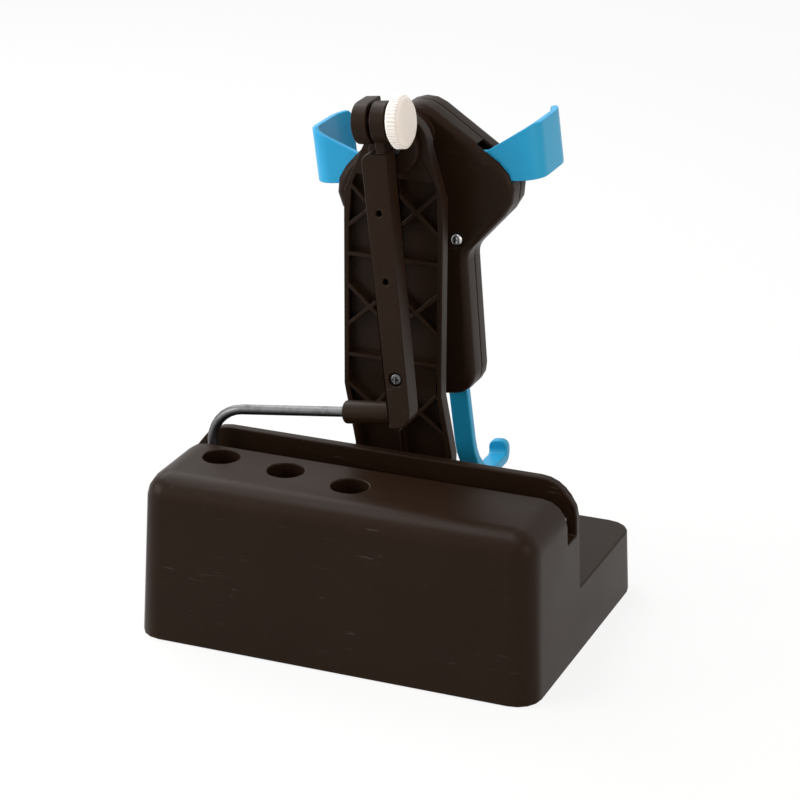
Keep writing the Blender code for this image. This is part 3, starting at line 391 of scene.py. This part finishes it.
class FinishRack:
    """Builds each finish once and hands it out."""

    def __init__(self) -> None:
        """Starts with no finish made."""
        self._made: dict[Finish, bpy.types.Material] = {}

    def get(self, finish: Finish) -> bpy.types.Material:
        """Gives the material of a finish.

        Args:
            finish: The finish wanted.

        Returns:
            Its material.
        """
        if finish not in self._made:
            self._made[finish] = finish.value.build()
        return self._made[finish]


RACK = FinishRack()


def new_object(name: str, mesh: bpy.types.Mesh) -> bpy.types.Object:
    """Links a mesh into the scene.

    Args:
        name: The object's name.
        mesh: Its mesh.

    Returns:
        The new object.
    """
    piece = bpy.data.objects.new(name, mesh)
    bpy.context.scene.collection.objects.link(piece)
    return piece


def settle(piece: bpy.types.Object) -> None:
    """Turns a piece with modifiers into a plain mesh.

    Args:
        piece: The piece to settle; its modifiers are removed.
    """
    bpy.context.view_layer.update()
    graph = bpy.context.evaluated_depsgraph_get()
    mesh = bpy.data.meshes.new_from_object(piece.evaluated_get(graph))
    piece.modifiers.clear()
    piece.data = mesh


def smooth(piece: bpy.types.Object, angle: float = 40.0) -> None:
    """Shades a piece smooth, with sharp edges above the angle in degrees."""
    piece.data.shade_smooth()
    piece.data.set_sharp_from_angle(angle=math.radians(angle))


def paint(finish: Finish, *nodes: str) -> None:
    """Gives CAD nodes whose shape stays their finish.

    Args:
        finish: The finish to use.
        nodes: The nodes' names.
    """
    for node in nodes:
        for slot in frame["nodes"][node].material_slots:
            slot.material = RACK.get(finish)
        LOG.info("%s keeps its solid, with finish %s", node, finish.name)


def fit(piece: bpy.types.Object, finish: Finish, *nodes: str) -> bpy.types.Object:
    """Paints a finished piece, lets it ride on its nodes' body and stand for its nodes.

    Args:
        piece: The piece, in place.
        finish: Its finish.
        nodes: The CAD nodes that it stands for, all on one body and of one material.

    Returns:
        The piece.
    """
    piece.data.materials.clear()
    piece.data.materials.append(RACK.get(finish))
    body = frame["nodes"][nodes[0]]["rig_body"]
    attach(piece, body)
    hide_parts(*nodes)
    LOG.info("%s rides on %s, %d faces", piece.name, body, len(piece.data.polygons))
    return piece


@dataclass
class Skin:
    """A skin over one CAD node, with its corners rounded as a mould or a tumbler leaves them.

    The weld distance also merges the short edges that a solid's cuts leave, before the rounding.
    """

    node: str
    finish: Finish
    edge: float = 0.0004
    segments: int = 2
    angle: float = 38.0
    weld: float = 0.000004
    flat_weight: int = 100

    def build(self) -> bpy.types.Object:
        """Copies the node, rounds its edges and fits it.

        Returns:
            The fitted skin.
        """
        mesh = frame["nodes"][self.node].data.copy()
        shape = bmesh.new()
        shape.from_mesh(mesh)
        bmesh.ops.remove_doubles(shape, verts=shape.verts, dist=self.weld)
        shape.to_mesh(mesh)
        shape.free()
        piece = new_object(f"{self.node}_skin", mesh)
        rounding = piece.modifiers.new("rounding", "BEVEL")
        rounding.width = self.edge
        rounding.segments = self.segments
        rounding.limit_method = "ANGLE"
        rounding.angle_limit = math.radians(self.angle)
        rounding.use_clamp_overlap = False
        rounding.miter_outer = "MITER_ARC"
        shading = piece.modifiers.new("shading", "WEIGHTED_NORMAL")
        shading.weight = self.flat_weight
        mesh.shade_smooth()
        settle(piece)
        return fit(piece, self.finish, self.node)


class NodeForge:
    """A Geometry Nodes tree that is built here, run once on an object and settled."""

    def __init__(self, name: str) -> None:
        """Starts a tree with a geometry input and output.

        Args:
            name: The tree's name.
        """
        self.tree = bpy.data.node_groups.new(name, "GeometryNodeTree")
        self.tree.interface.new_socket("Geometry", in_out="INPUT", socket_type="NodeSocketGeometry")
        self.tree.interface.new_socket("Geometry", in_out="OUTPUT", socket_type="NodeSocketGeometry")
        self.values: dict[str, float] = {}
        self.sizes: dict[str, str] = {}

    def size(self, name: str, value: float, whole: bool = False) -> None:
        """Adds a named size to the tree's inputs.

        Args:
            name: The input's name.
            value: Its value.
            whole: True for a count.
        """
        kind = "NodeSocketInt" if whole else "NodeSocketFloat"
        socket = self.tree.interface.new_socket(name, in_out="INPUT", socket_type=kind)
        self.sizes[name] = socket.identifier
        self.values[name] = value

    def start(self) -> bpy.types.Node:
        """Adds the node that carries the inputs."""
        return self.tree.nodes.new("NodeGroupInput")

    def add(self, kind: str, settings: dict | None = None, **inputs: object) -> bpy.types.Node:
        """Adds a node, sets it, then fills its sockets.

        Args:
            kind: The node's type.
            settings: Attributes of the node.
            inputs: Values or links of its sockets, by name with _ for a space.

        Returns:
            The new node.
        """
        node = self.tree.nodes.new(kind)
        for key, value in (settings or {}).items():
            setattr(node, key, value)
        for key, value in inputs.items():
            socket = node.inputs[key.replace("_", " ")]
            if isinstance(value, bpy.types.NodeSocket):
                self.tree.links.new(value, socket)
            else:
                socket.default_value = value
        return node

    def close(self, geometry: bpy.types.NodeSocket, finish: Finish) -> None:
        """Realises the instances, sets the material and ends the tree.

        Args:
            geometry: The geometry to end with.
            finish: Its finish.
        """
        real = self.add("GeometryNodeRealizeInstances", Geometry=geometry)
        painted = self.add("GeometryNodeSetMaterial", Geometry=real.outputs[0], Material=RACK.get(finish))
        end = self.tree.nodes.new("NodeGroupOutput")
        self.tree.links.new(painted.outputs[0], end.inputs[0])

    def run(self, piece: bpy.types.Object) -> None:
        """Runs the tree on a piece and settles the result.

        Args:
            piece: The piece that carries the input geometry.
        """
        modifier = piece.modifiers.new("forge", "NODES")
        modifier.node_group = self.tree
        for name, identifier in self.sizes.items():
            modifier[identifier] = self.values[name]
        settle(piece)


def lathe(profile: list[tuple[float, float]], sides: int) -> bpy.types.Mesh:
    """Turns a profile about Z.

    Args:
        profile: Points (radius, height); a radius of 0 closes an end on the axis.
        sides: Faces round the axis.

    Returns:
        The closed mesh.
    """
    shape = bmesh.new()
    rings = []
    turn = 2 * math.pi / sides
    for radius, height in profile:
        if radius <= 0.0:
            rings.append([shape.verts.new((0.0, 0.0, height))])
            continue
        spots = ((radius * math.cos(turn * i), radius * math.sin(turn * i)) for i in range(sides))
        rings.append([shape.verts.new((x, y, height)) for x, y in spots])
    for lower, upper in zip(rings, rings[1:]):
        for i in range(sides):
            j = (i + 1) % sides
            corners = [lower[i % len(lower)], lower[j % len(lower)]]
            corners += [upper[j % len(upper)], upper[i % len(upper)]]
            shape.faces.new(list(dict.fromkeys(corners)))
    bmesh.ops.recalc_face_normals(shape, faces=shape.faces)
    mesh = bpy.data.meshes.new("lathe")
    shape.to_mesh(mesh)
    shape.free()
    return mesh


@dataclass
class HeadedScrews:
    """Pan-head screws with a cross recess, placed on the CAD screws that face the slot side."""

    name: str
    nodes: tuple[str, ...]
    finish: Finish = Finish.BRIGHT_STEEL
    head_radius: float = 0.00235
    head: float = 0.0016
    shank_radius: float = 0.00125
    shank: float = 0.008
    recess_length: float = 0.0026
    recess_width: float = 0.00062
    recess_depth: float = 0.001
    dome_steps: int = 5
    crown_share: float = 0.55
    rim_share: float = 0.35
    sides: int = 32

    def template(self) -> bpy.types.Object:
        """Makes one screw about Z with its head upwards.

        Returns:
            The template object.
        """
        dome = []
        for step in range(self.dome_steps + 1):
            angle = math.pi / 2 * step / self.dome_steps
            out = self.crown_share + (1 - self.crown_share) * math.cos(angle)
            rise = self.rim_share + (1 - self.rim_share) * math.sin(angle)
            dome.append((self.head_radius * out, self.head * rise))
        profile = [(0.0, -self.shank), (self.shank_radius, -self.shank), (self.shank_radius, 0.0)]
        profile += [(self.head_radius, 0.0)] + dome + [(0.0, self.head)]
        screw = new_object("screw_template", lathe(profile, self.sides))
        slot = (self.recess_length, self.recess_width)
        for length, width in (slot, slot[::-1]):
            shape = bmesh.new()
            bmesh.ops.create_cube(shape, size=1.0)
            bmesh.ops.scale(shape, vec=(length, width, 2 * self.recess_depth), verts=shape.verts)
            bmesh.ops.translate(shape, vec=(0.0, 0.0, self.head), verts=shape.verts)
            mesh = bpy.data.meshes.new("recess")
            shape.to_mesh(mesh)
            shape.free()
            blade = new_object("recess", mesh)
            cut = screw.modifiers.new("recess", "BOOLEAN")
            cut.object = blade
            settle(screw)
            bpy.data.objects.remove(blade)
        return screw

    def build(self) -> bpy.types.Object:
        """Instances the template on the CAD screws.

        Returns:
            The fitted screws.
        """
        points = bpy.data.meshes.new("seats")
        seats = []
        for node in self.nodes:
            low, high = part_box(node)
            middle = (low + high) / 2
            seats.append((middle.x, low.y + self.head, middle.z))
        points.from_pydata(seats, [], [])
        screws = new_object(self.name, points)
        template = self.template()
        forge = NodeForge("headed_screws")
        source = forge.start()
        shape = forge.add("GeometryNodeObjectInfo", Object=template)
        towards_slot = (math.pi / 2, 0.0, 0.0)
        placed = forge.add(
            "GeometryNodeInstanceOnPoints",
            Points=source.outputs["Geometry"],
            Instance=shape.outputs["Geometry"],
            Rotation=towards_slot,
        )
        forge.close(placed.outputs[0], self.finish)
        forge.run(screws)
        bpy.data.objects.remove(template)
        smooth(screws)
        return fit(screws, self.finish, *self.nodes)


@dataclass
class Knob:
    """White hand knob: a crowned wheel with fine ribs round its rim."""

    radius: float = 0.0097
    width: float = 0.0062
    face_round: float = 0.0024
    bore: float = 0.0038
    bore_depth: float = 0.0047
    ribs: int = 44
    rib_radius: float = 0.00034
    round_steps: int = 6
    crown: float = 0.0003
    crown_share: float = 0.45
    sides: int = 72
    rib_sides: int = 10
    rib_end_share: float = 1.1

    def profile(self) -> list[tuple[float, float]]:
        """Section of the wheel, from the bore's end round the rim to the face."""
        half = self.width / 2
        floor = -half + self.bore_depth
        flat = self.radius - self.face_round
        points = [(0.0, floor), (self.bore, floor), (self.bore, -half), (flat, -half)]
        for way in (-1, 1):
            for step in range(self.round_steps + 1):
                share = step / self.round_steps
                angle = math.pi / 2 * (share if way > 0 else 1 - share)
                out = flat + self.face_round * math.cos(angle)
                points.append((out, way * (half - self.face_round + self.face_round * math.sin(angle))))
        crown = half + self.crown
        return points + [(self.radius * self.crown_share, crown), (0.0, crown)]

    def build(self) -> bpy.types.Object:
        """Turns the wheel, adds the ribs and sets it on the hinge bolt.

        Returns:
            The fitted knob.
        """
        knob = new_object("knob_wheel", lathe(self.profile(), self.sides))
        forge = NodeForge("knob_ribs")
        forge.size("Ribs", self.ribs, True)
        forge.size("Rim radius", self.radius)
        forge.size("Rib radius", self.rib_radius)
        forge.size("Rib length", self.width - self.rib_end_share * self.face_round)
        source = forge.start()
        rim = forge.add(
            "GeometryNodeMeshCircle",
            Vertices=source.outputs["Ribs"],
            Radius=source.outputs["Rim radius"],
        )
        rib = forge.add(
            "GeometryNodeMeshCylinder",
            Vertices=self.rib_sides,
            Radius=source.outputs["Rib radius"],
            Depth=source.outputs["Rib length"],
        )
        placed = forge.add("GeometryNodeInstanceOnPoints", Points=rim.outputs[0], Instance=rib.outputs[0])
        joined = forge.add("GeometryNodeJoinGeometry", Geometry=placed.outputs[0])
        forge.tree.links.new(source.outputs["Geometry"], joined.inputs[0])
        forge.close(joined.outputs[0], Finish.WHITE)
        forge.run(knob)
        joint = next(joint for joint in frame["joints"] if joint["name"] == "knob_turn")
        axis = Vector(joint["axis"])
        low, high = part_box("knob")
        pivot = Vector(joint["pos_m"])
        along = ((low + high) / 2 - pivot).dot(axis)
        turn = Vector((0.0, 0.0, 1.0)).rotation_difference(axis).to_matrix().to_4x4()
        knob.data.transform(Matrix.Translation(pivot + axis * along) @ turn)
        smooth(knob)
        return fit(knob, Finish.WHITE, "knob")


@dataclass
class Base:
    """Weighted base: the shell with its wells and slot wall, and what it holds."""

    shell_edge: float = 0.0006
    shell_weld: float = 0.00035
    pin_edge: float = 0.0003
    plate_screws: int = 4

    def build(self) -> None:
        """Rounds the shell and the slot's pin, then dresses the underside and the ballast."""
        Skin("base_shell", Finish.BLACK, self.shell_edge, SOFT_CORNER, weld=self.shell_weld).build()
        Skin("slot_pin", Finish.BRIGHT_STEEL, self.pin_edge).build()
        self.dress()

    def dress(self) -> None:
        """Finishes the pieces that keep their solids."""
        paint(Finish.BLACK, "bottom_plate")
        paint(Finish.RUBBER, "anti_slip_pad")
        paint(Finish.CAST_STEEL, "ballast_weight")
        paint(Finish.BRIGHT_STEEL, *(f"bottom_plate_screw_{i + 1}" for i in range(self.plate_screws)))


@dataclass
class Mast:
    """Ribbed upright with the bushes that the pivot shaft turns in."""

    rib_edge: float = 0.00035
    foot_screws: int = 2

    def build(self) -> None:
        """Rounds the mast's ribs and rim, then dresses its bushes and screws."""
        Skin("mast", Finish.BLACK, self.rib_edge).build()
        paint(Finish.BRASS, "rear_bush", "front_bush")
        paint(Finish.BRIGHT_STEEL, *(f"mast_screw_{i + 1}" for i in range(self.foot_screws)))


@dataclass
class Hinge:
    """Hub on the pivot shaft, with the hinge bolt that the knob clamps."""

    hub_edge: float = 0.0005
    bolt_edge: float = 0.0004
    knob: Knob = field(default_factory=Knob)

    def build(self) -> None:
        """Rounds the hub and the bolt, makes the knob and dresses the shaft."""
        Skin("hub_bracket", Finish.BLACK, self.hub_edge, SOFT_CORNER).build()
        Skin("hinge_bolt", Finish.BRIGHT_STEEL, self.bolt_edge).build()
        self.knob.build()
        paint(Finish.BRIGHT_STEEL, "pivot_shaft", "shaft_nut")
        paint(Finish.BRASS, "knob_insert")


@dataclass
class ArmAndRod:
    """Hanging arm and the bent rod that its sleeve holds."""

    arm_edge: float = 0.0006
    rod_edge: float = 0.0005

    def build(self) -> None:
        """Rounds the arm and the rod, and sets the small screw above the sleeve."""
        Skin("arm", Finish.BLACK, self.arm_edge, SOFT_CORNER).build()
        Skin("rod", Finish.ROD_STEEL, self.rod_edge, SOFT_CORNER).build()
        HeadedScrews("arm_screws", ("arm_screw_1",), Finish.ROD_STEEL).build()


@dataclass
class Clamp:
    """Clamp housing in two halves, with its screws and the spring inside."""

    cover_edge: float = 0.0005
    screws: tuple[str, ...] = ("clamp_screw_1", "clamp_screw_2")

    def build(self) -> None:
        """Rounds both halves, sets their screws and dresses the spring and its post."""
        for cover in ("clamp_rear_cover", "clamp_front_cover"):
            Skin(cover, Finish.BLACK, self.cover_edge, SOFT_CORNER).build()
        HeadedScrews("clamp_screws", self.screws).build()
        paint(Finish.BRIGHT_STEEL, "spring_post", "return_spring")


@dataclass
class Grip:
    """Blue jaws and the foot that closes them as it sinks."""

    jaw_edge: float = 0.0005
    jaw_weld: float = 0.00015
    foot_edge: float = 0.0007
    foot_screws: int = 2

    def build(self) -> None:
        """Rounds the jaws and the foot, then dresses the slider behind them."""
        for jaw in ("jaw_left", "jaw_right"):
            Skin(jaw, Finish.BLUE, self.jaw_edge, SOFT_CORNER, weld=self.jaw_weld).build()
        Skin("foot", Finish.BLUE, self.foot_edge, SOFT_CORNER).build()
        paint(Finish.BLACK, "foot_slider")
        paint(Finish.BRIGHT_STEEL, "drive_pin_left", "drive_pin_right")
        paint(Finish.BRIGHT_STEEL, *(f"foot_screw_{i + 1}" for i in range(self.foot_screws)))


@dataclass(frozen=True)
class SoftBox:
    """One area light, aimed at a point."""

    name: str
    place: XYZ
    size: float
    power: float
    tint: Colour = (1.0, 1.0, 1.0)
    aim: XYZ = (0.0, 0.0, 0.09)

    def build(self) -> None:
        """Hangs the light."""
        lamp = bpy.data.lights.new(self.name, "AREA")
        lamp.size = self.size
        lamp.energy = self.power
        lamp.color = self.tint
        holder = bpy.data.objects.new(self.name, lamp)
        way = Vector(self.aim) - Vector(self.place)
        facing = way.to_track_quat("-Z", "Y").to_matrix().to_4x4()
        holder.matrix_world = Matrix.Translation(self.place) @ facing
        bpy.context.scene.collection.objects.link(holder)


@dataclass
class Studio:
    """White table-top studio with the photograph's camera."""

    camera_place: XYZ = (0.3869, -0.9347, 0.4853)
    azimuth: float = 22.284
    elevation: float = 21.373
    roll: float = 0.272
    lens: float = 126.63
    sensor: float = 36.0
    floor_half: float = 3.0
    floor_glow: float = 0.86
    floor_colour: Colour = (0.82, 0.82, 0.82)
    floor_roughness: float = 0.9
    ambient: float = 0.42
    lights: tuple[SoftBox, ...] = (
        SoftBox("window", (-0.65, 0.40, 0.85), 0.7, 7.0),
        SoftBox("warm_fill", (0.85, -0.25, 0.40), 0.5, 3.0, (1.0, 0.78, 0.58)),
        SoftBox("front_card", (-0.85, -0.55, 0.45), 0.6, 6.5, (1.0, 0.97, 0.94)),
        SoftBox("overhead", (-0.25, -0.20, 1.00), 0.45, 4.0),
    )

    def build(self) -> None:
        """Sets the camera, floor, world and lights."""
        bpy.context.scene.view_settings.view_transform = "Standard"
        self.stand_camera()
        self.lay_floor()
        self.light_world()
        for light in self.lights:
            light.build()
            LOG.info("light %s is up", light.name)

    def stand_camera(self) -> None:
        """Places the camera where the photograph was taken from."""
        lens = bpy.data.cameras.new("camera")
        lens.sensor_fit = "HORIZONTAL"
        lens.sensor_width = self.sensor
        lens.lens = self.lens
        holder = bpy.data.objects.new("camera", lens)
        turn, rise, roll = (math.radians(angle) for angle in (self.azimuth, self.elevation, self.roll))
        back = Vector((math.sin(turn) * math.cos(rise), -math.cos(turn) * math.cos(rise), math.sin(rise)))
        right = (-back).cross(Vector((0.0, 0.0, 1.0))).normalized()
        up = right.cross(-back)
        across = right * math.cos(roll) + up * math.sin(roll)
        over = up * math.cos(roll) - right * math.sin(roll)
        facing = Matrix((across, over, back)).transposed().to_4x4()
        holder.matrix_world = Matrix.Translation(self.camera_place) @ facing
        bpy.context.scene.collection.objects.link(holder)
        bpy.context.scene.camera = holder

    def lay_floor(self) -> None:
        """Lays a white floor that keeps a soft shadow."""
        half = self.floor_half
        mesh = bpy.data.meshes.new("floor")
        corners = [(-half, -half, 0.0), (half, -half, 0.0), (half, half, 0.0), (-half, half, 0.0)]
        mesh.from_pydata(corners, [], [(0, 1, 2, 3)])
        floor = new_object("floor", mesh)
        bench = ShaderBench("white_floor")
        bench.shader.inputs["Base Color"].default_value = (*self.floor_colour, 1.0)
        bench.shader.inputs["Roughness"].default_value = self.floor_roughness
        glow = bench.add("ShaderNodeEmission", {}, Color=PURE_WHITE, Strength=1.0)
        seen = bench.seen_by_eye() * self.floor_glow
        both = bench.add("ShaderNodeMixShader", {})
        bench.set(both.inputs[0], seen)
        bench.set(both.inputs[1], bench.shader.outputs[0])
        bench.set(both.inputs[2], glow.outputs[0])
        bench.set(bench.tree.nodes["Material Output"].inputs["Surface"], both.outputs[0])
        mesh.materials.append(bench.material)

    def light_world(self) -> None:
        """Makes the world white to the eye and grey as a light."""
        world = bpy.data.worlds.new("studio")
        world.use_nodes = True
        bpy.context.scene.world = world
        tree = world.node_tree
        bench = ShaderBench.of_tree(tree)
        background = tree.nodes["Background"]
        background.inputs["Color"].default_value = PURE_WHITE
        seen = bench.seen_by_eye()
        bench.set(background.inputs["Strength"], self.ambient + (1.0 - self.ambient) * seen)


def main() -> None:
    """Builds the sub-assemblies in order, then the studio."""
    logging.basicConfig(level=logging.INFO, format="%(message)s")
    for assembly in (Base(), Mast(), Hinge(), ArmAndRod(), Clamp(), Grip()):
        LOG.info("building %s", type(assembly).__name__)
        assembly.build()
    Studio().build()


if __name__ == "__main__":
    main()
